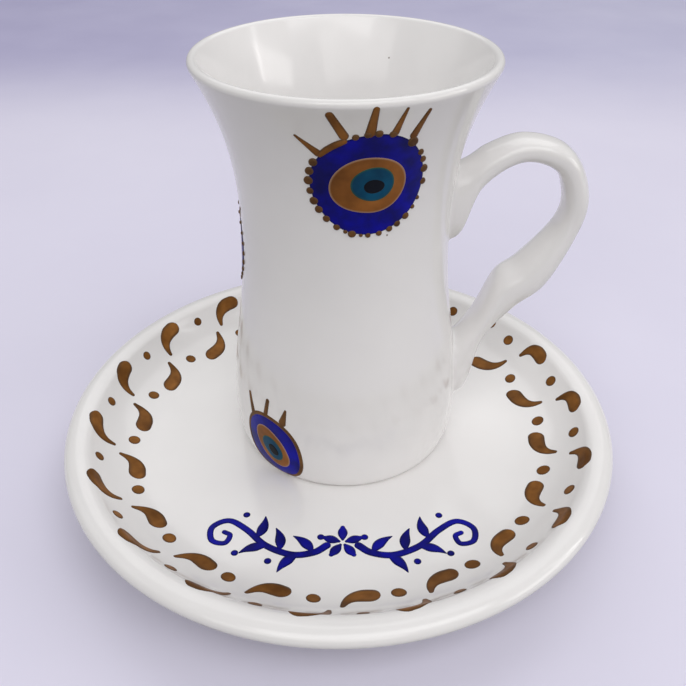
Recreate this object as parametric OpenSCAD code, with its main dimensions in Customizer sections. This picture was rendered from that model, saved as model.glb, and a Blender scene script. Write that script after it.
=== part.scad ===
// Small porcelain coffee cup with an ear handle, standing on its deep saucer.
// Millimetres, +Z up. The origin is the middle of the saucer's foot ring, on the table.
// The handle points along +X and the front of the cup faces -Y.

/* [Cup] */
// Height of the cup from its foot to the top of its lip
cup_h = 85; // [78:0.5:92]
// Outside diameter at the lip
rim_d = 55.8; // [52:0.1:60]
// Outside diameter at the waist
waist_d = 41.6; // [38:0.1:45]
// Height of the waist above the cup's foot
waist_z = 53.2; // [48:0.1:58]
// Outside diameter at the belly
belly_d = 49.6; // [46:0.1:53]
// Height of the widest ring of the belly above the cup's foot
belly_z = 11; // [9:0.1:15]
// Lean of the wall at the lip, in degrees from upright
flare_lean = 28; // [15:1:38]
// Thickness of the cup's wall and of its rounded lip
cup_wall = 2.6; // [2:0.1:3.4]
// Thickness of the cup's floor over its hollowed base
cup_floor = 3.4; // [2.4:0.1:5]
// Width of the rounded corner inside the cup's bottom
cup_corner = 9; // [5:0.5:14]
// Outside diameter of the ring that the cup stands on
cup_foot_d = 44.6; // [40:0.1:46]
// Width of the ring that the cup stands on
cup_foot_w = 3.2; // [2:0.1:5]
// Depth of the hollow inside that ring
cup_foot_h = 1; // [0.5:0.1:1.6]

/* [Handle] */
// Farthest reach of the handle's midline from the cup's axis
handle_reach = 45.1; // [41:0.1:50]
// Height of the top of the handle's midline above the cup's foot
handle_peak = 67.2; // [62:0.1:72]
// Height of the middle of the handle's lower root above the cup's foot
handle_low = 17.5; // [14:0.1:22]
// Height of the upper root against the cup's wall
upper_root_h = 14.7; // [12:0.1:17]
// Thickness of the arm that rises from the upper root
arm_t = 7.7; // [6:0.1:9]
// Thickness of the strap round the bend
strap_t = 4.8; // [4:0.1:6]
// Thickness of the swell where the thumb rests
swell_t = 7.4; // [6:0.1:9]
// Thickness of the neck above the lower root
neck_t = 4.7; // [4:0.1:6]
// Height of the lower root against the cup's wall
lower_root_h = 14; // [11:0.1:16]
// Depth of the upper root, front to back
upper_root_w = 10.5; // [8:0.1:13]
// Depth of the strap, front to back
strap_w = 8.5; // [7:0.1:11]
// Depth of the swell, front to back
swell_w = 10.8; // [9:0.1:13]
// Depth of the lower root, front to back
lower_root_w = 11.5; // [9:0.1:13]

/* [Saucer] */
// Outside diameter of the saucer
saucer_d = 120.6; // [112:0.2:130]
// Height of the saucer from the table to the top of its lip
saucer_h = 15.8; // [14:0.1:20]
// Height of the dish's floor above the table
saucer_floor_z = 7; // [6:0.1:8]
// Diameter of the dish's flat floor
saucer_floor_d = 80; // [74:0.5:88]
// Thickness of the saucer's floor
saucer_wall = 4; // [3:0.1:4.6]
// Width of the saucer's rolled lip
saucer_lip_w = 6; // [5:0.1:7]
// Height of the saucer's rolled lip
saucer_lip_t = 4; // [3.4:0.1:4.6]
// Slope of the dish's wall where it meets the lip, in degrees
dish_lean = 57; // [45:1:65]
// Outside diameter of the saucer's foot ring
saucer_foot_d = 70; // [60:0.5:74]
// Width of the saucer's foot ring at the table
saucer_foot_w = 3; // [2:0.1:5]

/* [Placing] */
// How far right of the saucer's middle the cup stands
cup_right = 1.4; // [-4:0.1:4]
// How far behind the saucer's middle the cup stands
cup_back = 5.9; // [-8:0.1:8]

/* [Hidden] */
$fn = 96;

porcelain = "#f1efec";
curve_steps = 12;
round_steps = 8;
span_steps = 5;
section_sides = 20;

// Pull of the curves' tangents, as shares of the stretch that each curve covers
belly_pull_share = 0.33;
waist_under_pull_share = 0.45;
waist_over_pull_share = 0.35;
lip_pull_share = 0.4;
heel_out_pull_share = 0.72;
heel_up_pull_share = 0.68;
corner_pull_share = 0.6;
dish_floor_pull_share = 0.5;
dish_lip_pull_share = 0.34;
under_lip_pull_share = 0.3;
under_floor_pull_share = 0.55;

// Slope at which the saucer's underside leaves the lip, in degrees
under_lean = 42;
// Draft of the saucer's foot ring on each side
saucer_foot_draft = 1;
// Rounding of the saucer's foot ring
saucer_foot_round = 0.8;
// How flat the strap's faces are: 2 is an ellipse, more is squarer
section_power = 2.5;

cup_foot_r = cup_foot_d / 2;
cup_inside_z = cup_foot_h + cup_floor;
belly = [belly_d / 2, belly_z];
waist = [waist_d / 2, waist_z];
lip_r = cup_wall / 2;
lip_mid = [rim_d / 2 - lip_r, cup_h - lip_r];
flare_up = [sin(flare_lean), cos(flare_lean)];
flare_out = [cos(flare_lean), -sin(flare_lean)];
lip_out = lip_mid + lip_r * flare_out;

saucer_lip_mid = [(saucer_d - saucer_lip_w) / 2, saucer_h - saucer_lip_t / 2];
saucer_under_z = saucer_floor_z - saucer_wall;
saucer_foot_r = saucer_foot_d / 2;

// Control points of the cup's outer wall, from its foot to its lip
rise_low = waist_z - belly_z;
rise_high = lip_out[1] - waist_z;
heel_curve = [
    [cup_foot_r, 0],
    [cup_foot_r + heel_out_pull_share * (belly[0] - cup_foot_r), 0],
    belly - [0, heel_up_pull_share * belly_z],
    belly
];
body_curve = [
    belly,
    belly + [0, belly_pull_share * rise_low],
    waist - [0, waist_under_pull_share * rise_low],
    waist
];
flare_curve = [
    waist,
    waist + [0, waist_over_pull_share * rise_high],
    lip_out - lip_pull_share * rise_high * flare_up,
    lip_out
];

// Stations of the handle from the upper root to the lower one. Each has its place between the waist and
// the handle's reach, and its place between the lower root and the handle's peak
station_shares = [
    [-0.15, 0.76],
    [0.08, 0.796],
    [0.245, 0.925],
    [0.535, 1],
    [0.855, 0.955],
    [1, 0.81],
    [0.965, 0.665],
    [0.74, 0.47],
    [0.525, 0.37],
    [0.32, 0.185],
    [0.175, 0],
    [-0.05, 0.02]
];
// Lean of the strap's section at each station, in degrees from level
station_lean = [90, 90, 82, 80, 56, 6, -25, -36, -52, -62, -80, -90];
station_thickness = [
    upper_root_h, upper_root_h, arm_t, strap_t, strap_t, strap_t,
    strap_t, swell_t, swell_t, neck_t, lower_root_h, lower_root_h
];
arm_w = (upper_root_w + strap_w) / 2;
station_depth = [
    upper_root_w, upper_root_w, arm_w, strap_w, strap_w, strap_w,
    strap_w, swell_w, swell_w, swell_w, lower_root_w, lower_root_w
];
stations = [
    for (i = [0 : len(station_shares) - 1])
    [
        waist[0] + station_shares[i][0] * (handle_reach - waist[0]),
        handle_low + station_shares[i][1] * (handle_peak - handle_low),
        station_lean[i],
        station_thickness[i],
        station_depth[i]
    ]
];

// A cubic curve by its four control points, and its direction
function curve_at(c, t) =
    pow(1 - t, 3) * c[0] + 3 * t * pow(1 - t, 2) * c[1] + 3 * t * t * (1 - t) * c[2] + pow(t, 3) * c[3];
function slope_at(c, t) =
    pow(1 - t, 2) * (c[1] - c[0]) + 2 * t * (1 - t) * (c[2] - c[1]) + t * t * (c[3] - c[2]);
function curve(c, steps) = [for (i = [0 : steps]) curve_at(c, i / steps)];

// The same curve moved sideways, to the left of its direction
function left_of(v) = [-v[1], v[0]] / norm(v);
function beside(c, steps, gap) = [
    for (i = [0 : steps]) curve_at(c, i / steps) + gap * left_of(slope_at(c, i / steps))
];

// A list of points in reverse, without its first point, or without both its ends
function backwards(points) = [for (i = [len(points) - 1 : -1 : 0]) points[i]];
function after_first(points) = [for (i = [1 : len(points) - 1]) points[i]];
function without_ends(points) = [for (i = [1 : len(points) - 2]) points[i]];

// Points of an oval, and the angle on it at which its outward normal points a given way
function oval(mid, w, h, from, to, steps) = [
    for (i = [0 : steps])
    let (a = from + (to - from) * i / steps)
    mid + [w / 2 * cos(a), h / 2 * sin(a)]
];
function oval_angle(w, h, normal) = atan2(h * normal[1], w * normal[0]);

// A smooth value between the second and third of four neighbours
function between(a, b, c, d, t) =
    b + t / 2 * ((c - a) + t * ((2 * a - 5 * b + 4 * c - d) + t * (3 * b - a - 3 * c + d)));
function smooth_row(rows, i, t) =
    let (last = len(rows) - 1)
    let (before = i == 0 ? 2 * rows[0] - rows[1] : rows[i - 1])
    let (after = i + 2 > last ? 2 * rows[last] - rows[last - 1] : rows[i + 2])
    between(before, rows[i], rows[i + 1], after, t);
function smooth_rows(rows, steps) = concat(
    [for (i = [0 : len(rows) - 2], k = [0 : steps - 1]) smooth_row(rows, i, k / steps)],
    [rows[len(rows) - 1]]
);

// One section of the handle: a rounded strap, leaning in the handle's plane
function squared(v) = sign(v) * pow(abs(v), 2 / section_power);
function section(row) = [
    for (i = [0 : section_sides - 1])
    let (a = 360 * i / section_sides)
    let (out = row[3] / 2 * squared(cos(a)))
    [row[0] + out * cos(row[2]), row[4] / 2 * squared(sin(a)), row[1] + out * sin(row[2])]
];

// Outer wall of the cup from the foot to the lip
function cup_outside() = concat(
    curve(heel_curve, round_steps),
    after_first(curve(body_curve, curve_steps)),
    after_first(curve(flare_curve, curve_steps))
);

// Inner wall of the cup from the lip to the middle of its floor
function cup_inside() =
    let (corner_top = belly - [cup_wall, 0])
    let (corner_drop = [0, belly_z - cup_inside_z])
    let (corner_end = corner_top - corner_drop - [cup_corner, 0])
    let (corner_curve = [
        corner_top,
        corner_top - corner_pull_share * corner_drop,
        corner_end + [corner_pull_share * cup_corner, 0],
        corner_end
    ])
    concat(
        backwards(beside(flare_curve, curve_steps, cup_wall)),
        backwards(without_ends(beside(body_curve, curve_steps, cup_wall))),
        curve(corner_curve, round_steps),
        [[0, cup_inside_z]]
    );

function cup_profile() =
    let (lip = oval(lip_mid, cup_wall, cup_wall, -flare_lean, 180 - flare_lean, round_steps))
    let (ring_in = cup_foot_r - cup_foot_w)
    concat(
        [[0, cup_foot_h], [ring_in - cup_foot_h, cup_foot_h], [ring_in, 0]],
        cup_outside(),
        without_ends(lip),
        cup_inside()
    );

// Section of the saucer: dish, rolled lip, underside and foot ring
function saucer_profile() =
    let (in_angle = oval_angle(saucer_lip_w, saucer_lip_t, [-sin(dish_lean), cos(dish_lean)]))
    let (out_angle = oval_angle(saucer_lip_w, saucer_lip_t, [sin(under_lean), -cos(under_lean)]))
    let (lip = oval(saucer_lip_mid, saucer_lip_w, saucer_lip_t, in_angle, out_angle, 2 * round_steps))
    let (lip_in = lip[0])
    let (lip_under = lip[2 * round_steps])
    let (dish_edge = [saucer_floor_d / 2, saucer_floor_z])
    let (dish_w = lip_in[0] - dish_edge[0])
    let (dish_curve = [
        dish_edge,
        dish_edge + [dish_floor_pull_share * dish_w, 0],
        lip_in - dish_lip_pull_share * dish_w * [cos(dish_lean), sin(dish_lean)],
        lip_in
    ])
    let (foot_top = [saucer_foot_r + saucer_foot_draft, saucer_under_z])
    let (under_w = lip_under[0] - foot_top[0])
    let (under_curve = [
        lip_under,
        lip_under - under_lip_pull_share * under_w * [cos(under_lean), sin(under_lean)],
        foot_top + [under_floor_pull_share * under_w, 0],
        foot_top
    ])
    let (ring_in = saucer_foot_r - saucer_foot_w)
    let (round_d = 2 * saucer_foot_round)
    concat(
        [[0, saucer_floor_z]],
        curve(dish_curve, curve_steps),
        without_ends(lip),
        curve(under_curve, curve_steps),
        oval([saucer_foot_r - saucer_foot_round, saucer_foot_round], round_d, round_d, 0, -90, round_steps),
        oval([ring_in + saucer_foot_round, saucer_foot_round], round_d, round_d, -90, -180, round_steps),
        [[ring_in - saucer_foot_draft, saucer_under_z], [0, saucer_under_z]]
    );

module on_saucer() {
    translate([cup_right, cup_back, saucer_floor_z]) children();
}

// Everything inside the cup's outer wall, which the handle is cut to fit against
module cup_envelope() {
    rotate_extrude() polygon(concat(cup_outside(), [[0, lip_out[1]], [0, 0]]));
}

// The handle's strap swept through its stations
module handle_strap() {
    rings = [for (row = smooth_rows(stations, span_steps)) section(row)];
    last = len(rings) - 1;
    sides = [
        for (i = [0 : last - 1], j = [0 : section_sides - 1])
        let (k = (j + 1) % section_sides)
        let (near = i * section_sides)
        let (far = near + section_sides)
        each [[near + j, near + k, far + k], [near + j, far + k, far + j]]
    ];
    start_cap = [for (j = [section_sides - 1 : -1 : 0]) j];
    end_cap = [for (j = [0 : section_sides - 1]) last * section_sides + j];
    polyhedron([for (ring = rings) each ring], concat(sides, [start_cap, end_cap]));
}

module saucer() {
    color(porcelain) rotate_extrude() polygon(saucer_profile());
}

module cup_body() {
    color(porcelain) on_saucer() rotate_extrude() polygon(cup_profile());
}

module cup_handle() {
    color(porcelain) on_saucer() difference() {
        handle_strap();
        cup_envelope();
    }
}

saucer();
cup_body();
cup_handle();
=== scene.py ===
"""Looks of a waisted porcelain coffee cup on its saucer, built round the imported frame.

Lengths are millimetres until a mesh is made, and angles are degrees. The floor, the lamps and the
camera are placed in metres, and textures are scaled per metre. A turn is measured round an upright
axis from the front, where the camera stands, towards the right.
"""

import math

import bmesh
import bpy
import numpy as np
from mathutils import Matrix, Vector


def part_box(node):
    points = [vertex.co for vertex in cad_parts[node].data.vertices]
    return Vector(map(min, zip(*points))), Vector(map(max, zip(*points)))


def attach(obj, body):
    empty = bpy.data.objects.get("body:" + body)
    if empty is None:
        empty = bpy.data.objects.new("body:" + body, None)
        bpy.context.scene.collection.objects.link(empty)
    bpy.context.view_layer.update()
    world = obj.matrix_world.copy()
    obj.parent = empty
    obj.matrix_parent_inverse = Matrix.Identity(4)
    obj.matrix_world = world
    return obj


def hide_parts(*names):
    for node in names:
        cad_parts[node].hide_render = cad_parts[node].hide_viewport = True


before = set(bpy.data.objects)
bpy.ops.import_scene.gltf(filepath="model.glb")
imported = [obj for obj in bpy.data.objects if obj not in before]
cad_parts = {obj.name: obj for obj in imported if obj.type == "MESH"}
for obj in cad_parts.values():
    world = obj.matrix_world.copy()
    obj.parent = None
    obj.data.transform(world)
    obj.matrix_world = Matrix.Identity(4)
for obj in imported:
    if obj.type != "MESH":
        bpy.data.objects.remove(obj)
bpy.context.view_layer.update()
MM = 0.001


# Places and overall sizes, read from the frame
def box_mm(node):
    low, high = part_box(node)
    return np.array(low) / MM, np.array(high) / MM


CUP_LOW, CUP_HIGH = box_mm("cup_body")
SAUCER_LOW, SAUCER_HIGH = box_mm("saucer")
CUP_FOOT = np.array([*(CUP_LOW + CUP_HIGH)[:2] / 2, CUP_LOW[2]])
SAUCER_FOOT = np.array([*(SAUCER_LOW + SAUCER_HIGH)[:2] / 2, SAUCER_LOW[2]])
CUP_H = CUP_HIGH[2] - CUP_LOW[2]
RIM_R = (CUP_HIGH[0] - CUP_LOW[0]) / 2
SAUCER_H = SAUCER_HIGH[2] - SAUCER_LOW[2]
SAUCER_R = (SAUCER_HIGH[0] - SAUCER_LOW[0]) / 2

# The cup's profile: BELLY and WAIST are a radius and a height
WALL = 2.6
RIM_WALL = 1.8
FOOT_R = 22.3
FOOT_W = 3.2
FOOT_H = 1.0
FOOT_SOFT = 0.4
BELLY = np.array([24.8, 11.0])
WAIST = np.array([20.8, 53.2])
FLARE_LEAN = 28.0
FLOOR_Z = 4.4
FLOOR_R = 13.2

# The saucer's profile, and the radius from which its floor can be painted
DISH_FLOOR_Z = CUP_LOW[2]
DISH_FLOOR_R = 40.0
DISH_PAINT_R = 4
DISH_LEAN = 57.0
LIP_W = 6.0
LIP_T = 4.0
UNDER_LEAN = 42.0
UNDER_Z = 3.0
RING_R = 35.0
RING_W = 3.0
RING_DRAFT = 1.0
RING_ROUND = 0.8

# Pull of the curves' tangents, as shares of the stretch that each curve covers
HEEL_OUT_SHARE = 0.72
HEEL_UP_SHARE = 0.68
BELLY_SHARE = 0.33
WAIST_UNDER_SHARE = 0.45
WAIST_OVER_SHARE = 0.35
FLARE_SHARE = 0.4
CORNER_SHARE = 0.6
DISH_FLOOR_SHARE = 0.5
DISH_LIP_SHARE = 0.34
UNDER_LIP_SHARE = 0.3
UNDER_FLOOR_SHARE = 0.55

# Height up to which the two feet are left unglazed
BARE_H = 0.2

# The handle's stations from the upper root to the lower one: reach and height as shares of the
# stretches below, lean of the section, its thickness and its depth
HANDLE_REACH = 45.1
HANDLE_LOW = 17.5
HANDLE_PEAK = 67.2
STATIONS = (
    (-0.15, 0.76, 90, 14.7, 10.5),
    (0.08, 0.796, 90, 14.7, 10.5),
    (0.245, 0.925, 82, 7.7, 9.5),
    (0.535, 1, 80, 4.8, 8.5),
    (0.855, 0.955, 56, 4.8, 8.5),
    (1, 0.81, 6, 4.8, 8.5),
    (0.965, 0.665, -25, 4.8, 8.5),
    (0.74, 0.47, -36, 7.4, 10.8),
    (0.525, 0.37, -52, 7.4, 10.8),
    (0.32, 0.185, -62, 4.7, 10.8),
    (0.175, 0, -80, 14, 11.5),
    (-0.05, 0.02, -90, 14, 11.5),
)
STRAP_POWER = 2.5

# The handle's roots: the stations inside and outside the cup's wall between which each one meets
# it, its fillet on the wall, and how deep its edge and its hidden end lie in the wall
UPPER_MEET = (0, 2)
LOWER_MEET = (11, 9)
ROOT_FILLET = 0.7
ROOT_SINK = 0.05
ROOT_PLUG = 0.8

# Mesh density
AROUND = 192
CURVE_STEPS = 40
LIP_STEPS = 16
STRAP_STEPS = 150
STRAP_SIDES = 48
HALVINGS = 40


# Curves
def bezier(a, b, c, d, steps=CURVE_STEPS):
    t = np.linspace(0, 1, steps + 1)[:, None]
    a, b, c, d = (np.asarray(p, float) for p in (a, b, c, d))
    return (1 - t) ** 3 * a + 3 * t * (1 - t) ** 2 * b + 3 * t * t * (1 - t) * c + t ** 3 * d


def heading(angle):
    return np.array([math.cos(math.radians(angle)), math.sin(math.radians(angle))])


def ease(t):
    """A share from 0 to 1 that starts and ends gently."""
    return t * t * (3 - 2 * t)


def arc(middle, width, height, start, end, steps=LIP_STEPS):
    a = np.radians(np.linspace(start, end, steps + 1))
    return np.asarray(middle) + np.stack([width / 2 * np.cos(a), height / 2 * np.sin(a)], 1)


def chain(*stretches):
    """Joins stretches of points, leaving out a first point that repeats the last one."""
    points = [np.asarray(stretches[0], float)]
    for stretch in stretches[1:]:
        stretch = np.asarray(stretch, float)
        same = np.allclose(stretch[0], points[-1][-1], atol=1e-6)
        points.append(stretch[1:] if same else stretch)
    return np.vstack(points)


def left_normals(points):
    along = np.gradient(points, axis=0)
    along /= np.linalg.norm(along, axis=1)[:, None]
    return np.stack([-along[:, 1], along[:, 0]], 1)


def smooth(rows, place):
    """The row at a fractional place among rows, on a curve through all of them."""
    i = int(min(max(math.floor(place), 0), len(rows) - 2))
    t = place - i
    b, c = rows[i], rows[i + 1]
    a = rows[i - 1] if i else 2 * b - c
    d = rows[i + 2] if i + 2 < len(rows) else 2 * c - b
    return b + t / 2 * ((c - a) + t * ((2 * a - 5 * b + 4 * c - d) + t * (3 * b - a - 3 * c + d)))


# Profiles
def cup_outside():
    """The three curves of the outer wall, and the middle of the lip's round."""
    lip_mid = np.array([RIM_R - RIM_WALL / 2, CUP_H - RIM_WALL / 2])
    lip_out = lip_mid + RIM_WALL / 2 * heading(-FLARE_LEAN)
    rise_low = WAIST[1] - BELLY[1]
    rise_high = lip_out[1] - WAIST[1]
    foot = np.array([FOOT_R, 0])
    heel = bezier(
        foot,
        foot + (HEEL_OUT_SHARE * (BELLY[0] - FOOT_R), 0),
        BELLY - (0, HEEL_UP_SHARE * BELLY[1]),
        BELLY,
    )
    body = bezier(
        BELLY,
        BELLY + (0, BELLY_SHARE * rise_low),
        WAIST - (0, WAIST_UNDER_SHARE * rise_low),
        WAIST,
    )
    flare = bezier(
        WAIST,
        WAIST + (0, WAIST_OVER_SHARE * rise_high),
        lip_out - FLARE_SHARE * rise_high * heading(90 - FLARE_LEAN),
        lip_out,
    )
    return heel, body, flare, lip_mid


def cup_wall():
    """The outer wall from the foot to part of the way round the lip."""
    heel, body, flare, lip_mid = cup_outside()
    return chain(heel, body, flare, arc(lip_mid, RIM_WALL, RIM_WALL, -FLARE_LEAN, FLARE_LEAN))


def cup_profile():
    """The whole section, from the hollow under the foot over the lip to the floor inside."""
    heel, body, flare, lip_mid = cup_outside()
    wall = chain(body, flare)
    rise = np.clip((wall[:, 1:] - WAIST[1]) / (wall[-1, 1] - WAIST[1]), 0, 1)
    thick = WALL + ease(rise) * (RIM_WALL - WALL)
    inside = (wall + thick * left_normals(wall))[::-1]
    top = inside[-1]
    floor = np.array([FLOOR_R, FLOOR_Z])
    corner = bezier(
        top,
        top - (0, CORNER_SHARE * (top[1] - FLOOR_Z)),
        floor + (CORNER_SHARE * (top[0] - FLOOR_R), 0),
        floor,
        LIP_STEPS,
    )
    ring_in = FOOT_R - FOOT_W
    ring = [
        (ring_in - FOOT_H - FOOT_SOFT, FOOT_H),
        (ring_in - FOOT_H + FOOT_SOFT / 2, FOOT_H - FOOT_SOFT / 2),
        (ring_in - FOOT_SOFT / 2, FOOT_SOFT / 2),
        (ring_in + FOOT_SOFT, 0),
    ]
    lip = arc(lip_mid, RIM_WALL, RIM_WALL, -FLARE_LEAN, 180 - FLARE_LEAN)
    return chain(ring, heel, body, flare, lip, inside, corner)


def lip_angle(normal):
    """The angle at which the saucer's oval lip faces the way of a normal."""
    return math.degrees(math.atan2(LIP_T * normal[1], LIP_W * normal[0]))


def dish_curve():
    """The curved wall inside the saucer, the middle of its lip, and where the lip's oval starts."""
    lip_mid = np.array([SAUCER_R - LIP_W / 2, SAUCER_H - LIP_T / 2])
    start = lip_angle(heading(DISH_LEAN + 90))
    lip_in = lip_mid + np.array([LIP_W, LIP_T]) / 2 * heading(start)
    edge = np.array([DISH_FLOOR_R, DISH_FLOOR_Z])
    width = lip_in[0] - edge[0]
    curve = bezier(
        edge,
        edge + (DISH_FLOOR_SHARE * width, 0),
        lip_in - DISH_LIP_SHARE * width * heading(DISH_LEAN),
        lip_in,
    )
    return curve, lip_mid, start


def dish_wall():
    """The upper face from near the middle to the top of the lip."""
    dish, lip_mid, start = dish_curve()
    floor = [(r, DISH_FLOOR_Z) for r in range(DISH_PAINT_R, int(DISH_FLOOR_R))]
    return chain(floor, dish, arc(lip_mid, LIP_W, LIP_T, start, 90))


def saucer_profile():
    """The whole section, from the edge of the floor over the lip to the hollow under the foot."""
    dish, lip_mid, start = dish_curve()
    end = lip_angle(heading(UNDER_LEAN - 90))
    lip = arc(lip_mid, LIP_W, LIP_T, start, end, 2 * LIP_STEPS)
    ring_top = np.array([RING_R + RING_DRAFT, UNDER_Z])
    width = lip[-1][0] - ring_top[0]
    under = bezier(
        lip[-1],
        lip[-1] - UNDER_LIP_SHARE * width * heading(UNDER_LEAN),
        ring_top + (UNDER_FLOOR_SHARE * width, 0),
        ring_top,
    )
    ring_in = RING_R - RING_W
    outer = arc((RING_R - RING_ROUND, RING_ROUND), 2 * RING_ROUND, 2 * RING_ROUND, 0, -90)
    inner = arc((ring_in + RING_ROUND, RING_ROUND), 2 * RING_ROUND, 2 * RING_ROUND, -90, -180)
    return chain(dish, lip, under, outer, inner, [(ring_in - RING_DRAFT, UNDER_Z)])


# Meshes
def loft(loops):
    """Points and faces of a closed skin through loops of points, with a fan at each end."""
    loops = np.asarray(loops, float)
    rows, cols = loops.shape[:2]
    points = [tuple(p) for p in loops.reshape(-1, 3)]
    faces = []
    for i in range(rows - 1):
        for j in range(cols):
            k = (j + 1) % cols
            faces.append((i * cols + j, i * cols + k, (i + 1) * cols + k, (i + 1) * cols + j))
    for row in (0, rows - 1):
        hub = len(points)
        points.append(tuple(loops[row].mean(0)))
        faces += [(row * cols + j, row * cols + (j + 1) % cols, hub) for j in range(cols)]
    return points, faces


def spin(profile, foot):
    turns = np.linspace(0, 2 * math.pi, AROUND, endpoint=False)
    ring = np.stack([np.sin(turns), -np.cos(turns), np.zeros(AROUND)], 1)
    return [foot + r * ring + (0, 0, z) for r, z in profile]


def make_piece(name, points, faces, body, materials, core=None):
    """A smooth mesh piece on a body. core is how far each point lies from a stroke's edge, up to 1."""
    mesh = bpy.data.meshes.new(name)
    mesh.from_pydata([tuple(c * MM for c in p) for p in points], [], faces)
    solid = bmesh.new()
    solid.from_mesh(mesh)
    bmesh.ops.recalc_face_normals(solid, faces=solid.faces)
    solid.to_mesh(mesh)
    solid.free()
    mesh.polygons.foreach_set("use_smooth", [True] * len(mesh.polygons))
    for material in materials:
        mesh.materials.append(material)
    if core is not None:
        mesh.attributes.new("core", "FLOAT", "POINT").data.foreach_set("value", core)
    piece = bpy.data.objects.new(name, mesh)
    bpy.context.scene.collection.objects.link(piece)
    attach(piece, body)
    return piece


# Materials
class Look:
    """A procedural material, with short ways to make the nodes that feed its shader."""

    def __init__(self, name):
        self.material = bpy.data.materials.new(name)
        self.material.use_nodes = True
        self.nodes = self.material.node_tree.nodes
        self.links = self.material.node_tree.links
        self.where = self.nodes.new("ShaderNodeTexCoord").outputs["Object"]

    def feed(self, socket, source):
        """Sets a socket to a number or a colour, or links it to another node's output."""
        if isinstance(source, (int, float)):
            socket.default_value = source
        elif isinstance(source, tuple):
            socket.default_value = (*source, 1)
        else:
            self.links.new(source, socket)

    def feed_all(self, node, inputs):
        """Feeds a node's inputs by name. An underscore stands for a space."""
        for name, source in inputs.items():
            self.feed(node.inputs[name.replace("_", " ")], source)
        return node

    def node(self, kind, **inputs):
        return self.feed_all(self.nodes.new("ShaderNode" + kind), inputs)

    def noise(self, scale, detail=3.0):
        return self.node("TexNoise", Vector=self.where, Scale=scale, Detail=detail).outputs["Fac"]

    def ramp(self, value, stops):
        node = self.node("ValToRGB", Fac=value)
        for element, (place, colour) in zip(node.color_ramp.elements, stops):
            element.position = place
            element.color = (*colour, 1)
        return node.outputs["Color"]

    def spread(self, value, low, high):
        """Maps a value from 0 to 1 onto the stretch from low to high."""
        return self.node("MapRange", Value=value, To_Min=low, To_Max=high).outputs["Result"]

    def step(self, value, low, high):
        """Rises gently from 0 to 1 as a value goes from low to high."""
        node = self.node("MapRange", Value=value, From_Min=low, From_Max=high)
        node.interpolation_type = "SMOOTHSTEP"
        return node.outputs["Result"]

    def mix(self, share, a, b, how="MIX"):
        node = self.nodes.new("ShaderNodeMix")
        node.data_type = "RGBA"
        node.blend_type = how
        for name, source in (("Factor", share), ("A", a), ("B", b)):
            self.feed(node.inputs[name], source)
        return node.outputs["Result"]

    def work_out(self, operation, a, b):
        node = self.nodes.new("ShaderNodeMath")
        node.operation = operation
        self.feed(node.inputs[0], a)
        self.feed(node.inputs[1], b)
        return node.outputs[0]

    def bump(self, height, depth, strength, under=None):
        node = self.node("Bump", Height=height, Distance=depth * MM, Strength=strength)
        if under is not None:
            self.feed(node.inputs["Normal"], under)
        return node.outputs["Normal"]

    def finish(self, **inputs):
        """The material, once its shader's inputs are fed."""
        self.feed_all(self.nodes["Principled BSDF"], inputs)
        return self.material


# Glaze and bisque: tones are stops of a ramp, each with a place and a colour
GLAZE_TONES = ((0.35, (0.85, 0.835, 0.83)), (0.65, (0.88, 0.865, 0.86)))
BISQUE_TONES = ((0.35, (0.56, 0.52, 0.46)), (0.7, (0.74, 0.71, 0.66)))

# Iron specks: cells per metre, the share of a cell that a speck reaches, and the least lot of a cell
# that has one
SPECK_TONE = (0.36, 0.32, 0.29)
SPECK_CELLS = 95
SPECK_REACH_SHARE = 0.022
SPECK_LOT = 0.5

# Enamel: the places of its two tones among the streaks, its washes, and how far its roughness goes
# below and above its middle
STREAK_STOPS = (0.34, 0.66)
WASH_TONES = ((0.32, (0.6, 0.6, 0.6)), (0.62, (1.0, 1.0, 1.0)))
ROUGH_BELOW = 0.06
ROUGH_ABOVE = 0.1


def porcelain_material():
    """White glaze: faint clouds of tone, a waver and a fine ripple in the gloss, a few iron specks."""
    look = Look("porcelain_glaze")
    tone = look.ramp(look.noise(scale=45), GLAZE_TONES)
    cells = look.node("TexVoronoi", Vector=look.where, Scale=SPECK_CELLS).outputs
    lot = look.node("SeparateColor", Color=cells["Color"]).outputs["Red"]
    near = look.work_out("LESS_THAN", cells["Distance"], SPECK_REACH_SHARE)
    chosen = look.work_out("GREATER_THAN", lot, SPECK_LOT)
    speck = look.work_out("MULTIPLY", near, chosen)
    waver = look.bump(look.noise(scale=60, detail=1.0), depth=0.06, strength=0.3)
    ripple = look.bump(look.noise(scale=500, detail=2.0), depth=0.008, strength=0.2, under=waver)
    return look.finish(
        Base_Color=look.mix(speck, tone, SPECK_TONE),
        Roughness=look.spread(look.noise(scale=120), low=0.1, high=0.2),
        Normal=ripple,
        IOR=1.52,
        Coat_Weight=0.25,
        Coat_Roughness=0.06,
    )


def bisque_material():
    """The unglazed ring that the piece was fired on: matt, warm and grainy."""
    look = Look("bisque_ring")
    grain = look.noise(scale=900, detail=4.0)
    return look.finish(
        Base_Color=look.ramp(grain, BISQUE_TONES),
        Normal=look.bump(grain, depth=0.05, strength=0.5),
        Roughness=0.8,
    )


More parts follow.
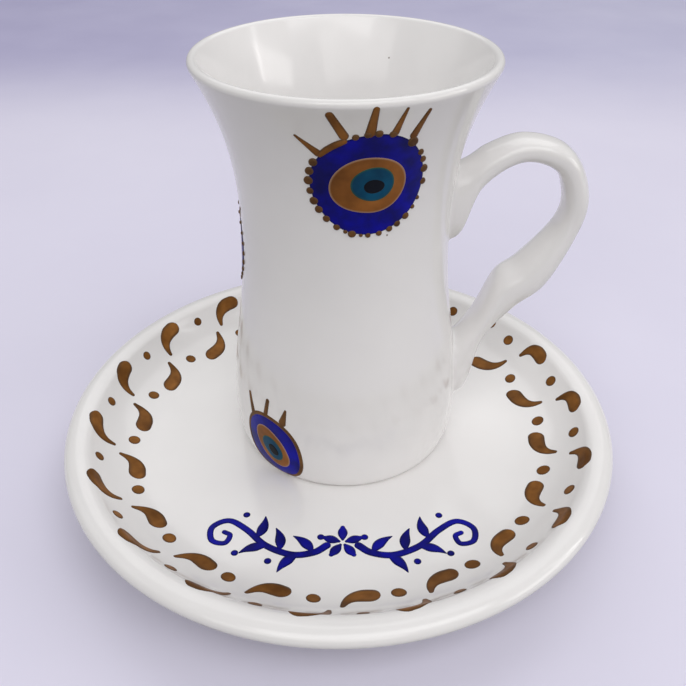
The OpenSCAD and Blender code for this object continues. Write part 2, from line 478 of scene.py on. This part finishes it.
def enamel_material(name, edge, dark, light, roughness, metallic=0.0):
    """Brushed enamel: an edge of its own tone, streaks between two tones, a low uneven gloss."""
    look = Look(name)
    core = look.node("Attribute")
    core.attribute_name = "core"
    streaks = look.noise(scale=260, detail=4.0)
    tone = look.ramp(streaks, tuple(zip(STREAK_STOPS, (dark, light))))
    wash = look.ramp(look.noise(scale=110, detail=2.0), WASH_TONES)
    tone = look.mix(1.0, tone, wash, "MULTIPLY")
    grain = look.noise(scale=900, detail=2.0)
    return look.finish(
        Base_Color=look.mix(core.outputs["Fac"], edge, tone),
        Roughness=look.spread(grain, roughness - ROUGH_BELOW, roughness + ROUGH_ABOVE),
        Normal=look.bump(streaks, depth=0.03, strength=0.3),
        Metallic=metallic,
        Specular_IOR_Level=0.1,
    )


PORCELAIN = porcelain_material()
BISQUE = bisque_material()
BLUE = enamel_material(
    "cobalt_enamel", roughness=0.3,
    edge=(0.003, 0.003, 0.05), dark=(0.004, 0.004, 0.14), light=(0.004, 0.004, 0.36),
)
GOLD = enamel_material(
    "gold_brown_enamel", roughness=0.36, metallic=0.1,
    edge=(0.085, 0.045, 0.022), dark=(0.18, 0.068, 0.013), light=(0.32, 0.13, 0.028),
)
BEAD_GOLD = enamel_material(
    "bead_gold_enamel", roughness=0.4, metallic=0.1,
    edge=(0.12, 0.066, 0.03), dark=(0.09, 0.042, 0.016), light=(0.2, 0.09, 0.028),
)
IRIS_GOLD = enamel_material(
    "iris_gold_enamel", roughness=0.36, metallic=0.1,
    edge=(0.4, 0.25, 0.16), dark=(0.22, 0.08, 0.017), light=(0.33, 0.122, 0.026),
)
TURQUOISE = enamel_material(
    "turquoise_enamel", roughness=0.3,
    edge=(0.03, 0.09, 0.05), dark=(0.001, 0.045, 0.10), light=(0.002, 0.075, 0.155),
)
DARK = enamel_material(
    "dark_enamel", roughness=0.3,
    edge=(0.001, 0.002, 0.004), dark=(0.001, 0.002, 0.005), light=(0.002, 0.004, 0.009),
)

# Enamel on a wall: its thickness, how far it sinks into the glaze, the width of its round edge, and
# that edge as insets with shares of the thickness
PAINT_T = 0.12
PAINT_SINK = 0.04
PAINT_ROUND = 0.4
PAINT_EDGE = ((0.0, 0.0), (0.06, 0.5), (0.18, 0.85), (0.4, 1.0))

# A dab's mesh: the spacing of its rings, and shares of its reach for its hidden side and its edge
DAB_SIDES = 64
DOT_SIDES = 16
RING_STEP = 1.0
DAB_UNDER_SHARE = 0.5
DAB_EDGE_SHARE = 0.8

# A stroke's mesh: rows between two points of its path, points across, rows in each round end, and
# the angle of the last one and the least radius there
STROKE_STEPS = 8
STROKE_ACROSS = 9
STROKE_ENDS = 5
STROKE_LAST = 88
STROKE_LEAST_R = 0.02

# A stroke's section: the power of its dome, the share of its greatest width below which half its
# width makes it thinner, and how fast its pooled edge fades inwards
STROKE_DOME_POWER = 4
STROKE_FULL_SHARE = 0.25
STROKE_EDGE_FADE = 2.2


class Wall:
    """A surface turned about an upright axis, walked by turn and by distance along its profile."""

    def __init__(self, profile, foot, side):
        self.profile = np.asarray(profile, float)
        steps = np.linalg.norm(np.diff(self.profile, axis=0), axis=1)
        self.along = np.concatenate([[0], np.cumsum(steps)])
        self.normals = side * left_normals(self.profile)
        self.foot = foot

    def at_height(self, z):
        return float(np.interp(z, self.profile[:, 1], self.along))

    def at_radius(self, r):
        return float(np.interp(r, self.profile[:, 0], self.along))

    def place(self, turn, along, lift):
        r, z = (np.interp(along, self.along, self.profile[:, i]) for i in (0, 1))
        out, up = (np.interp(along, self.along, self.normals[:, i]) for i in (0, 1))
        r, z = r + lift * out, z + lift * up
        a = math.radians(turn)
        return self.foot + (r * math.sin(a), -r * math.cos(a), z)

    def spot(self, turn, along):
        """A flat patch about one place: right, up along the profile, and out."""
        def point(right, up, lift):
            r = float(np.interp(along + up, self.along, self.profile[:, 0]))
            return self.place(turn + math.degrees(right / r), along + up, lift)
        return point

    def square(self, x, y):
        """A patch about a place that stays square to the front: right, back, and out."""
        def point(right, back, lift):
            turn = math.degrees(math.atan2(x + right, -y - back))
            return self.place(turn, self.at_radius(math.hypot(x + right, y + back)), lift)
        return point


class Paint:
    """Dabs and strokes of one enamel, gathered into one piece."""

    def __init__(self):
        self.points, self.faces, self.core = [], [], []

    def add(self, loops, core):
        points, faces = loft(loops)
        start = len(self.points)
        self.points += points
        self.faces += [tuple(start + i for i in face) for face in faces]
        values = np.asarray(core, float)
        self.core += list(values.reshape(-1)) + [values[0].mean(), values[-1].mean()]

    def dab(self, spot, outline, middle=(0, 0), thick=PAINT_T, base=0.0, sides=DAB_SIDES):
        """A filled shape. outline gives a distance from the middle for an angle in radians."""
        angles = np.linspace(0, 2 * math.pi, sides, endpoint=False)
        reach = np.array([outline(a) for a in angles])
        small = min(1.0, DAB_EDGE_SHARE * reach.min() / PAINT_ROUND)
        layers = [(DAB_UNDER_SHARE * reach, -PAINT_SINK, 0.0), (reach, -PAINT_SINK, 0.0)]
        for inset, rise in PAINT_EDGE:
            layers.append((reach - small * inset, rise * thick, inset / PAINT_ROUND))
        inner = layers[-1][0]
        count = math.ceil(inner.max() / RING_STEP)
        layers += [(inner * (1 - i / count), thick, 1.0) for i in range(1, count)]
        loops = []
        for radii, lift, _ in layers:
            loops.append([
                spot(middle[0] + r * math.cos(a), middle[1] + r * math.sin(a), base + lift)
                for r, a in zip(radii, angles)
            ])
        self.add(loops, [[core] * sides for _, _, core in layers])

    def dot(self, spot, middle, radius, thick=PAINT_T):
        self.dab(spot, lambda a: radius, middle, thick, sides=DOT_SIDES)

    def stroke(self, spot, path, widths, thick=PAINT_T, steps=STROKE_STEPS):
        """A brush stroke through path, with a width at each of its points and rounded ends."""
        rows = np.array([(*p, w) for p, w in zip(path, widths)], float)
        count = steps * (len(rows) - 1)
        line = np.array([smooth(rows, i / steps) for i in range(count + 1)])
        ahead = np.gradient(line[:, :2], axis=0)
        ahead /= np.linalg.norm(ahead, axis=1)[:, None]
        line, ahead = self.round_ends(line, ahead)
        across = np.linspace(-1, 1, STROKE_ACROSS)
        dome = np.sqrt(np.maximum(0, 1 - across ** STROKE_DOME_POWER))
        loops, core = [], []
        for (x, y, width), (dx, dy) in zip(line, ahead):
            side = width / 2
            fill = min(1.0, side / (STROKE_FULL_SHARE * max(widths)))
            row = [(x - dy * side * c, y + dx * side * c) for c in across]
            top = [spot(*p, thick * fill * h) for p, h in zip(row, dome)]
            under = [spot(*p, -PAINT_SINK) for p in row[::-1]]
            loops.append(top + under)
            depth = list(np.minimum(1, (1 - np.abs(across)) * STROKE_EDGE_FADE) * fill)
            core.append(depth + depth[::-1])
        self.add(loops, core)

    @staticmethod
    def round_ends(line, ahead):
        """Adds a half-round cap of narrowing rows at each end of a stroke."""
        angles = np.radians(np.linspace(90 / STROKE_ENDS, STROKE_LAST, STROKE_ENDS))
        caps = []
        for end, way in ((0, -1), (-1, 1)):
            radius = max(line[end, 2] / 2, STROKE_LEAST_R)
            tips = [line[end, :2] + way * radius * math.sin(a) * ahead[end] for a in angles]
            caps.append(np.array([(*tip, 2 * radius * math.cos(a)) for tip, a in zip(tips, angles)]))
        line = np.vstack([caps[0][::-1], line, caps[1]])
        ahead = np.vstack([[ahead[0]] * STROKE_ENDS, ahead, [ahead[-1]] * STROKE_ENDS])
        return line, ahead

    def piece(self, name, body, slot, material):
        make_piece(name, self.points, self.faces, body, [material], self.core)


CUP_WALL = Wall(cup_wall(), CUP_FOOT, -1)
DISH_WALL = Wall(dish_wall(), SAUCER_FOOT, 1)


# Porcelain pieces
def turned_piece(name, node, profile, foot, body):
    """A turned porcelain piece whose lowest ring is left unglazed."""
    points, faces = loft(spin(profile, foot))
    piece = make_piece(name, points, faces, body, [PORCELAIN, BISQUE])
    bare = (foot[2] + BARE_H) * MM
    for polygon in piece.data.polygons:
        if all(piece.data.vertices[i].co.z < bare for i in polygon.vertices):
            polygon.material_index = 1
    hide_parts(node)


def strap_rows():
    """The handle's stations in millimetres, about the cup's own axis."""
    reach = HANDLE_REACH - WAIST[0]
    rise = HANDLE_PEAK - HANDLE_LOW
    rows = [(WAIST[0] + x * reach, HANDLE_LOW + z * rise, *section) for x, z, *section in STATIONS]
    return np.array(rows, float)


def strap_point(rows, place, angle):
    """A point on the handle's skin and the middle of its section, about the cup's own axis."""
    x, z, lean, thick, deep = smooth(rows, place)
    power = 2 / STRAP_POWER
    cos, sin = (math.copysign(abs(v) ** power, v) for v in (math.cos(angle), math.sin(angle)))
    way = heading(lean) * thick / 2 * cos
    return np.array([x + way[0], deep / 2 * sin, z + way[1]]), np.array([x, 0, z])


def wall_radius(z):
    return float(np.interp(z, CUP_WALL.profile[:, 1], CUP_WALL.profile[:, 0]))


def wall_gap(point):
    return math.hypot(point[0], point[1]) - wall_radius(point[2])


def meeting(rows, angle, inside, outside):
    """The place along the strap where one of its lines goes into the cup's wall."""
    for _ in range(HALVINGS):
        middle = (inside + outside) / 2
        if wall_gap(strap_point(rows, middle, angle)[0]) < -ROOT_SINK:
            inside = middle
        else:
            outside = middle
    return outside


def filleted(point, middle):
    """Spreads a point near the cup's wall into a soft fillet that runs out on the wall."""
    gap = wall_gap(point)
    if gap >= ROOT_FILLET:
        return point
    reach = ROOT_FILLET - max(gap, 0)
    push = ROOT_FILLET - math.sqrt(max(0.0, ROOT_FILLET ** 2 - reach ** 2))
    outward = np.array([point[0], point[1], 0]) / math.hypot(point[0], point[1])
    away = point - middle
    away = away - away.dot(outward) * outward
    moved = point + push * away / np.linalg.norm(away)
    radius = wall_radius(moved[2]) + gap
    moved[:2] *= radius / math.hypot(moved[0], moved[1])
    return moved


def cup_handle():
    """The swept ear handle, whose two ends follow the cup's wall and close just inside it."""
    rows = strap_rows()
    angles = np.linspace(0, 2 * math.pi, STRAP_SIDES, endpoint=False)
    ends = [(meeting(rows, a, *UPPER_MEET), meeting(rows, a, *LOWER_MEET)) for a in angles]
    loops = []
    for i in range(STRAP_STEPS + 1):
        share = ease(i / STRAP_STEPS)
        loops.append([
            filleted(*strap_point(rows, start + share * (end - start), a))
            for a, (start, end) in zip(angles, ends)
        ])
    points, faces = loft(loops)
    for hub in (-2, -1):
        root = np.array(points[hub])
        root[:2] *= (wall_radius(root[2]) - ROOT_PLUG) / math.hypot(root[0], root[1])
        points[hub] = tuple(root)
    points = [tuple(np.array(p) + CUP_FOOT) for p in points]
    piece = make_piece("cup_handle_glazed", points, faces, "cup", [PORCELAIN])
    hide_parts("cup_handle")


turned_piece("cup_body_glazed", "cup_body", cup_profile(), CUP_FOOT, "cup")
turned_piece("saucer_glazed", "saucer", saucer_profile(), SAUCER_FOOT, "saucer")
cup_handle()


# Painted eyes
def wavy(radius, waves):
    """An outline near a circle, with a few waves of (count, share, angle)."""
    def outline(a):
        swell = sum(share * math.cos(n * (a - math.radians(turn))) for n, share, turn in waves)
        return radius * (1 + swell)
    return outline


def oval(wide, tall, waves=()):
    """An oval outline, wide by tall, with a few waves."""
    wave = wavy(1, waves)

    def outline(a):
        return wave(a) / math.hypot(math.cos(a) * 2 / wide, math.sin(a) * 2 / tall)
    return outline


def edge_path(outline, start, end, count):
    """Points along an outline, from one angle to another."""
    angles = np.radians(np.linspace(start, end, count))
    return [(outline(a) * math.cos(a), outline(a) * math.sin(a)) for a in angles]


# Paint of an eye: the thickness of each oval and of a bead, how far beads stand out from the disc,
# the shares of a brow's width along it, and the points and rows of a band
LAYER = 0.05
BEAD_T = 0.32
BEAD_OUT = 0.1
BROW = (0.8, 1, 1, 1, 0.8)
BAND_POINTS = 49
BAND_STEPS = 3


def painted_eye(name, turn, z, disc, rings, beads=(), lashes=(), brow=None, band=None, trim=GOLD):
    """An eye charm on the cup: a blue disc, gold, turquoise and dark ovals, a gold edge and lashes.

    rings has (middle, outline) for the gold, the turquoise and the dark oval, beads has (angle,
    radius) and lashes has (tip, root, width at the tip, width at the root). The edge can have beads,
    a brow of (start angle, end angle, width) and a band of one width all round.
    """
    spot = CUP_WALL.spot(turn, CUP_WALL.at_height(z))
    blue, gold, bead, iris, turquoise, dark = (Paint() for _ in range(6))
    blue.dab(spot, disc)
    for level, (paint, (middle, outline)) in enumerate(zip((iris, turquoise, dark), rings)):
        paint.dab(spot, outline, middle, LAYER, PAINT_T + level * LAYER)
    for angle, radius in beads:
        a = math.radians(angle)
        out = disc(a) + BEAD_OUT
        bead.dot(spot, (out * math.cos(a), out * math.sin(a)), radius, BEAD_T)
    for tip, root, tip_w, root_w in lashes:
        middle = [(t + r) / 2 for t, r in zip(tip, root)]
        gold.stroke(spot, (root, middle, tip), (root_w, (tip_w + root_w) / 2, tip_w))
    if brow:
        start, end, width = brow
        path = edge_path(disc, start, end, len(BROW))
        gold.stroke(spot, path, [share * width for share in BROW], BEAD_T)
    if band:
        path = edge_path(disc, 0, 360, BAND_POINTS)
        gold.stroke(spot, path, [band] * BAND_POINTS, PAINT_T + LAYER, BAND_STEPS)
    blue.piece(name + "_blue", "cup", "blue_enamel", BLUE)
    gold.piece(name + "_gold", "cup", "gold_enamel", trim)
    if beads:
        bead.piece(name + "_beads", "cup", "gold_enamel", BEAD_GOLD)
    iris.piece(name + "_iris", "cup", "gold_enamel", IRIS_GOLD)
    turquoise.piece(name + "_turquoise", "cup", "turquoise_enamel", TURQUOISE)
    dark.piece(name + "_pupil", "cup", "dark_enamel", DARK)


painted_eye(
    "eye_front", turn=9.8, z=69.4,
    disc=wavy(10.05, ((1, 0.022, 8), (2, 0.016, 126), (3, 0.012, 290), (4, 0.01, 68))),
    rings=(
        ((0.15, -0.15), oval(13.2, 11.2, ((1, 0.015, 215), (3, 0.015, 72), (4, 0.012, 30)))),
        ((0.75, 0.0), oval(7.4, 6.8, ((3, 0.02, 60),))),
        ((0.95, -0.45), oval(3.5, 2.75, ((3, 0.02, 0),))),
    ),
    beads=(
        (155, 0.8), (166, 0.8), (177, 0.85), (189, 0.68), (201, 0.8), (212, 0.75), (225, 0.68),
        (239, 0.63), (249, 0.4), (256, 0.75), (265, 0.36), (272, 0.52), (283, 0.57), (294, 0.62),
        (303, 0.64), (314, 0.7), (325, 0.45), (335, 0.42), (353, 0.65), (8, 0.8), (20, 0.64),
        (30, 0.62), (48, 1.0), (72, 0.66), (85, 0.69), (95, 0.61), (106, 0.6),
    ),
    lashes=(
        ((-12.4, 9.5), (-8.5, 6.2), 0.45, 1.4),
        ((-7.1, 14.2), (-4.6, 9.9), 1.35, 1.6),
        ((-0.1, 15.2), (-0.5, 10.3), 1.1, 1.8),
        ((4.9, 14.9), (3.5, 10.0), 0.55, 1.4),
        ((8.9, 13.9), (6.9, 9.0), 0.7, 1.5),
    ),
    brow=(117, 143, 1.3),
)
painted_eye(
    "eye_foot", turn=-38.9, z=8.2,
    disc=wavy(7.6, ((2, 0.06, 130), (3, 0.02, -50), (4, 0.02, 130))),
    rings=(
        ((0.0, -0.1), wavy(4.5, ((2, 0.2, 130), (4, 0.03, 130)))),
        ((0.2, -0.4), wavy(2.8, ((2, 0.15, 130), (3, 0.02, 40)))),
        ((0.5, -0.7), wavy(1.35, ((2, 0.15, 130),))),
    ),
    lashes=(
        ((-6.9, 10.5), (-5.6, 5.9), 0.9, 1.6),
        ((-0.9, 11.7), (-1.5, 8.1), 1.0, 1.2),
        ((3.8, 11.2), (3.1, 7.9), 0.6, 1.8),
    ),
    band=0.9, trim=BEAD_GOLD,
)

# The eye on the far left: beads at even angles and of uneven sizes, and lashes that fan out
SIDE_BEAD_STEP = 12
SIDE_BEAD_R = 0.5
SIDE_BEAD_SWAY = 0.12
SIDE_LASHES = (140, 115, 92, 70, 45)
SIDE_LASH_IN = 9.9
SIDE_LASH_OUT = 13.8
SIDE_LASH_WIDTHS = (0.5, 1.3)
painted_eye(
    "eye_side", turn=-101.0, z=47.5,
    disc=wavy(9.9, ((3, 0.012, 270), (5, 0.008, 60))),
    rings=(
        ((0.1, 0.0), oval(12.6, 10.6, ((1, 0.02, 200), (4, 0.01, 30)))),
        ((0.2, 0.1), oval(7.0, 6.5, ((3, 0.02, 20),))),
        ((0.3, -0.1), oval(3.3, 2.6)),
    ),
    beads=[(a, SIDE_BEAD_R + SIDE_BEAD_SWAY * math.sin(a)) for a in range(0, 360, SIDE_BEAD_STEP)],
    lashes=[
        (SIDE_LASH_OUT * heading(a), SIDE_LASH_IN * heading(a), *SIDE_LASH_WIDTHS) for a in SIDE_LASHES
    ],
)


# Painted saucer, with the rates at which the hand's unevenness changes
SWAY_COPY_RATE = 12.9898
SWAY_USE_RATE = 78.233


def sway(copy, use, amount):
    """A small repeatable unevenness of the hand, different for each copy and each of its uses."""
    return amount * math.sin(SWAY_COPY_RATE * copy + SWAY_USE_RATE * use)


def brushed(paint, spot, middle, length, width, lean, bend, taper):
    """A brush mark about a middle, leaning and bowed to one side, with shares of its width along it."""
    along = heading(lean)
    side = np.array([-along[1], along[0]])
    count = len(taper) - 1
    path = []
    for i in range(count + 1):
        share = i / count - 0.5
        path.append(np.array(middle) + share * length * along + (1 - 4 * share * share) * bend * side)
    paint.stroke(spot, path, [share * width for share in taper])


# The border: places are right and up from the middle of a repeat, on the outer or the inner row
REPEATS = 18
OUTER_ROW_R = 53.0
INNER_ROW_R = 47.4
DROP_LENGTH = 6.9
DROP_WIDTH = 3.7
DROP_BEND = 1.5
DROP_TAPER = (1.0, 0.99, 0.88, 0.68, 0.46, 0.26)
OUTER_DROP_X = -4.2
OUTER_DROP_LEAN = -38
INNER_DROP_X = 3.4
INNER_DROP_LEAN = 142
OUTER_DOT = (4.4, 0.2)
OUTER_DOT_R = 1.25
INNER_DOT = (-4.6, -0.4)
INNER_DOT_R = 1.35

# How far the border's turns, heights, drops and dots are off, at most
TURN_SWAY = 1.0
UP_SWAY = 0.4
OUTER_LENGTH_SWAY = 0.7
INNER_LENGTH_SWAY = 0.8
LEAN_SWAY = 9
DOT_SWAY = 0.15


def saucer_border():
    """A running border of drops in two rows that interlock, with dots in their bends."""
    gold = Paint()
    for i in range(REPEATS):
        turn = 360 * i / REPEATS + sway(i, 1, TURN_SWAY)
        outer = DISH_WALL.spot(turn, DISH_WALL.at_radius(OUTER_ROW_R))
        inner = DISH_WALL.spot(turn, DISH_WALL.at_radius(INNER_ROW_R))
        middle = (OUTER_DROP_X, sway(i, 2, UP_SWAY))
        length = DROP_LENGTH + sway(i, 3, OUTER_LENGTH_SWAY)
        lean = OUTER_DROP_LEAN + sway(i, 4, LEAN_SWAY)
        brushed(gold, outer, middle, length, DROP_WIDTH, lean, DROP_BEND, DROP_TAPER)
        middle = (INNER_DROP_X, sway(i, 5, UP_SWAY))
        length = DROP_LENGTH + sway(i, 6, INNER_LENGTH_SWAY)
        lean = INNER_DROP_LEAN + sway(i, 7, LEAN_SWAY)
        brushed(gold, inner, middle, length, DROP_WIDTH, lean, DROP_BEND, DROP_TAPER)
        middle = (INNER_DOT[0], INNER_DOT[1] + sway(i, 8, UP_SWAY))
        gold.dot(inner, middle, INNER_DOT_R + sway(i, 9, DOT_SWAY))
        middle = (OUTER_DOT[0], OUTER_DOT[1] + sway(i, 10, UP_SWAY))
        gold.dot(outer, middle, OUTER_DOT_R + sway(i, 11, DOT_SWAY))
    gold.piece("saucer_border_gold", "saucer", "gold_enamel", GOLD)


# The sprig: the right half's stem, leaves and dots are right and back from its middle, before the
# scale. Each leaf also has its lean
SPRIG_AT = (1.0, -31.0)
SPRIG_SCALE = 0.88
STEM = (
    (3.6, -2.6), (6.5, -4.6), (11.5, -5.2), (17.5, -2.6), (22.0, 1.8), (26.5, 4.6), (30.2, 2.6),
    (29.8, -1.2), (26.8, -2.0), (25.8, 0.2), (27.2, 1.2),
)
STEM_WIDTHS = (1.7, 1.1)
LEAVES = ((9.0, -2.2, 45), (14.8, -0.8, 80), (18.9, 2.8, 105), (12.2, -7.6, -48), (20.2, -3.8, -18))
LEAF_LENGTH = 5.6
LEAF_WIDTH = 2.2
LEAF_BEND = 0.5
LEAF_TAPER = (0.2, 0.75, 1.0, 0.85, 0.5, 0.12)
SPRIG_DOTS = ((22.6, 6.4), (16.6, -7.0), (24.2, -4.8), (5.0, -0.2))
SPRIG_DOT_R = 0.75
BLOSSOM_AT = (0, -1.5)
PETALS = 5
PETAL_OUT = 2.3
PETAL_LENGTH = 3.0
PETAL_WIDTH = 2.0
PETAL_TAPER = (0.35, 0.8, 1.0, 0.9, 0.5)


def saucer_sprig():
    """A blossom with a curling leafy stem on each side, across the front of the saucer's floor."""
    blue = Paint()
    spot = DISH_WALL.square(*SPRIG_AT)
    for way in (-1, 1):
        size = SPRIG_SCALE * np.array([way, 1])
        blue.stroke(spot, [size * p for p in STEM], np.linspace(*STEM_WIDTHS, len(STEM)))
        for x, y, lean in LEAVES:
            lean = lean if way > 0 else 180 - lean
            brushed(
                blue, spot, size * (x, y), LEAF_LENGTH, LEAF_WIDTH, lean, way * LEAF_BEND, LEAF_TAPER
            )
        for p in SPRIG_DOTS:
            blue.dot(spot, size * p, SPRIG_DOT_R)
    for i in range(PETALS):
        lean = 90 + 360 * i / PETALS
        middle = PETAL_OUT * heading(lean) + BLOSSOM_AT
        brushed(blue, spot, middle, PETAL_LENGTH, PETAL_WIDTH, lean, 0, PETAL_TAPER)
    blue.piece("saucer_sprig_blue", "saucer", "blue_enamel", BLUE)


saucer_border()
saucer_sprig()

# The floor: its half width, where its tone fades towards the back and across, and its tones
FLOOR_HALF = 2.5
PAPER_FADE = (0.2, 0.36)
PAPER_WIDE = (-0.3, 0.3)
PAPER_NEAR = ((0.3, (0.78, 0.755, 0.905)), (0.7, (0.81, 0.785, 0.93)))
PAPER_FAR_LEFT = ((0.3, (0.46, 0.44, 0.65)), (0.7, (0.52, 0.50, 0.71)))
PAPER_FAR_RIGHT = ((0.3, (0.58, 0.57, 0.76)), (0.7, (0.64, 0.63, 0.81)))
PAPER_BOUNCE = (0.28, 0.275, 0.275)

# The lamps: name, place, width, height, watts and colour
LAMP_AIM = (0, 0, 0.04)
WHITE = (1.0, 1.0, 1.0)
WARM = (1.0, 0.975, 0.96)
LAMPS = (
    ("window", (0.15, -0.53, 0.93), 1.2, 0.5, 3.55, WHITE),
    ("front", (-0.17, -0.85, 0.65), 1.2, 0.45, 2.05, WARM),
    ("right", (0.92, -0.25, 0.36), 0.6, 0.4, 1.65, WARM),
    ("strip", (0.9, 0.0, 0.5), 0.04, 0.6, 0.22, WHITE),
    ("back", (0.05, 0.55, 0.85), 1.2, 0.8, 2.7, WHITE),
    ("left", (-0.85, 0.1, 0.55), 0.7, 0.5, 0.4, WHITE),
)
WORLD_TONE = (1.0, 0.995, 1.0, 1)
WORLD_STRENGTH = 0.36

# The camera: where it stands, how it is turned, its lens and sensor in millimetres, and how near it
# can see
CAMERA_AT = (0.0014, -0.1351, 0.1292)
CAMERA_TILT = 54.46
CAMERA_TURN = 0.185
CAMERA_LENS = 40.61
CAMERA_SENSOR = 36
CAMERA_NEAR = 0.01


# Stage, light and camera
def floor_material():
    """Pale lilac paper, a little deeper far back, which sends only neutral light to the object."""
    look = Look("floor_paper")
    axes = look.node("SeparateXYZ", Vector=look.where).outputs
    clouds = look.noise(scale=14, detail=5.0)
    near, left, right = (look.ramp(clouds, t) for t in (PAPER_NEAR, PAPER_FAR_LEFT, PAPER_FAR_RIGHT))
    far = look.mix(look.step(axes["X"], *PAPER_WIDE), left, right)
    paper = look.mix(look.step(axes["Y"], *PAPER_FADE), near, far)
    path = look.node("LightPath").outputs
    seen = look.work_out("MAXIMUM", path["Is Camera Ray"], path["Is Glossy Ray"])
    seen = look.work_out("MAXIMUM", seen, path["Is Transmission Ray"])
    return look.finish(
        Base_Color=look.mix(seen, PAPER_BOUNCE, paper),
        Roughness=0.85,
        Specular_IOR_Level=0.2,
    )


def add_floor():
    mesh = bpy.data.meshes.new("floor")
    corners = [(x * FLOOR_HALF, y * FLOOR_HALF, 0) for x, y in ((-1, -1), (1, -1), (1, 1), (-1, 1))]
    mesh.from_pydata(corners, [], [(0, 1, 2, 3)])
    mesh.materials.append(floor_material())
    floor = bpy.data.objects.new("floor", mesh)
    bpy.context.scene.collection.objects.link(floor)


def add_lamp(name, place, wide, tall, watts, colour):
    lamp = bpy.data.lights.new(name, "AREA")
    lamp.shape = "RECTANGLE"
    lamp.size = wide
    lamp.size_y = tall
    lamp.energy = watts
    lamp.color = colour
    holder = bpy.data.objects.new(name, lamp)
    bpy.context.scene.collection.objects.link(holder)
    holder.location = place
    way = np.array(LAMP_AIM, float) - np.array(place, float)
    flat = math.hypot(way[0], way[1])
    holder.rotation_euler = (math.atan2(flat, -way[2]), 0, math.atan2(way[1], way[0]) - math.pi / 2)


def add_world():
    world = bpy.data.worlds.new("studio")
    bpy.context.scene.world = world
    world.use_nodes = True
    background = world.node_tree.nodes["Background"]
    background.inputs["Color"].default_value = WORLD_TONE
    background.inputs["Strength"].default_value = WORLD_STRENGTH


def add_camera():
    camera = bpy.data.cameras.new("camera")
    camera.sensor_width = CAMERA_SENSOR
    camera.lens = CAMERA_LENS
    camera.clip_start = CAMERA_NEAR
    holder = bpy.data.objects.new("camera", camera)
    bpy.context.scene.collection.objects.link(holder)
    holder.location = CAMERA_AT
    holder.rotation_euler = (math.radians(CAMERA_TILT), 0, math.radians(CAMERA_TURN))
    bpy.context.scene.camera = holder


add_floor()
add_world()
for settings in LAMPS:
    add_lamp(*settings)
add_camera()
bpy.context.scene.view_settings.view_transform = "Standard"
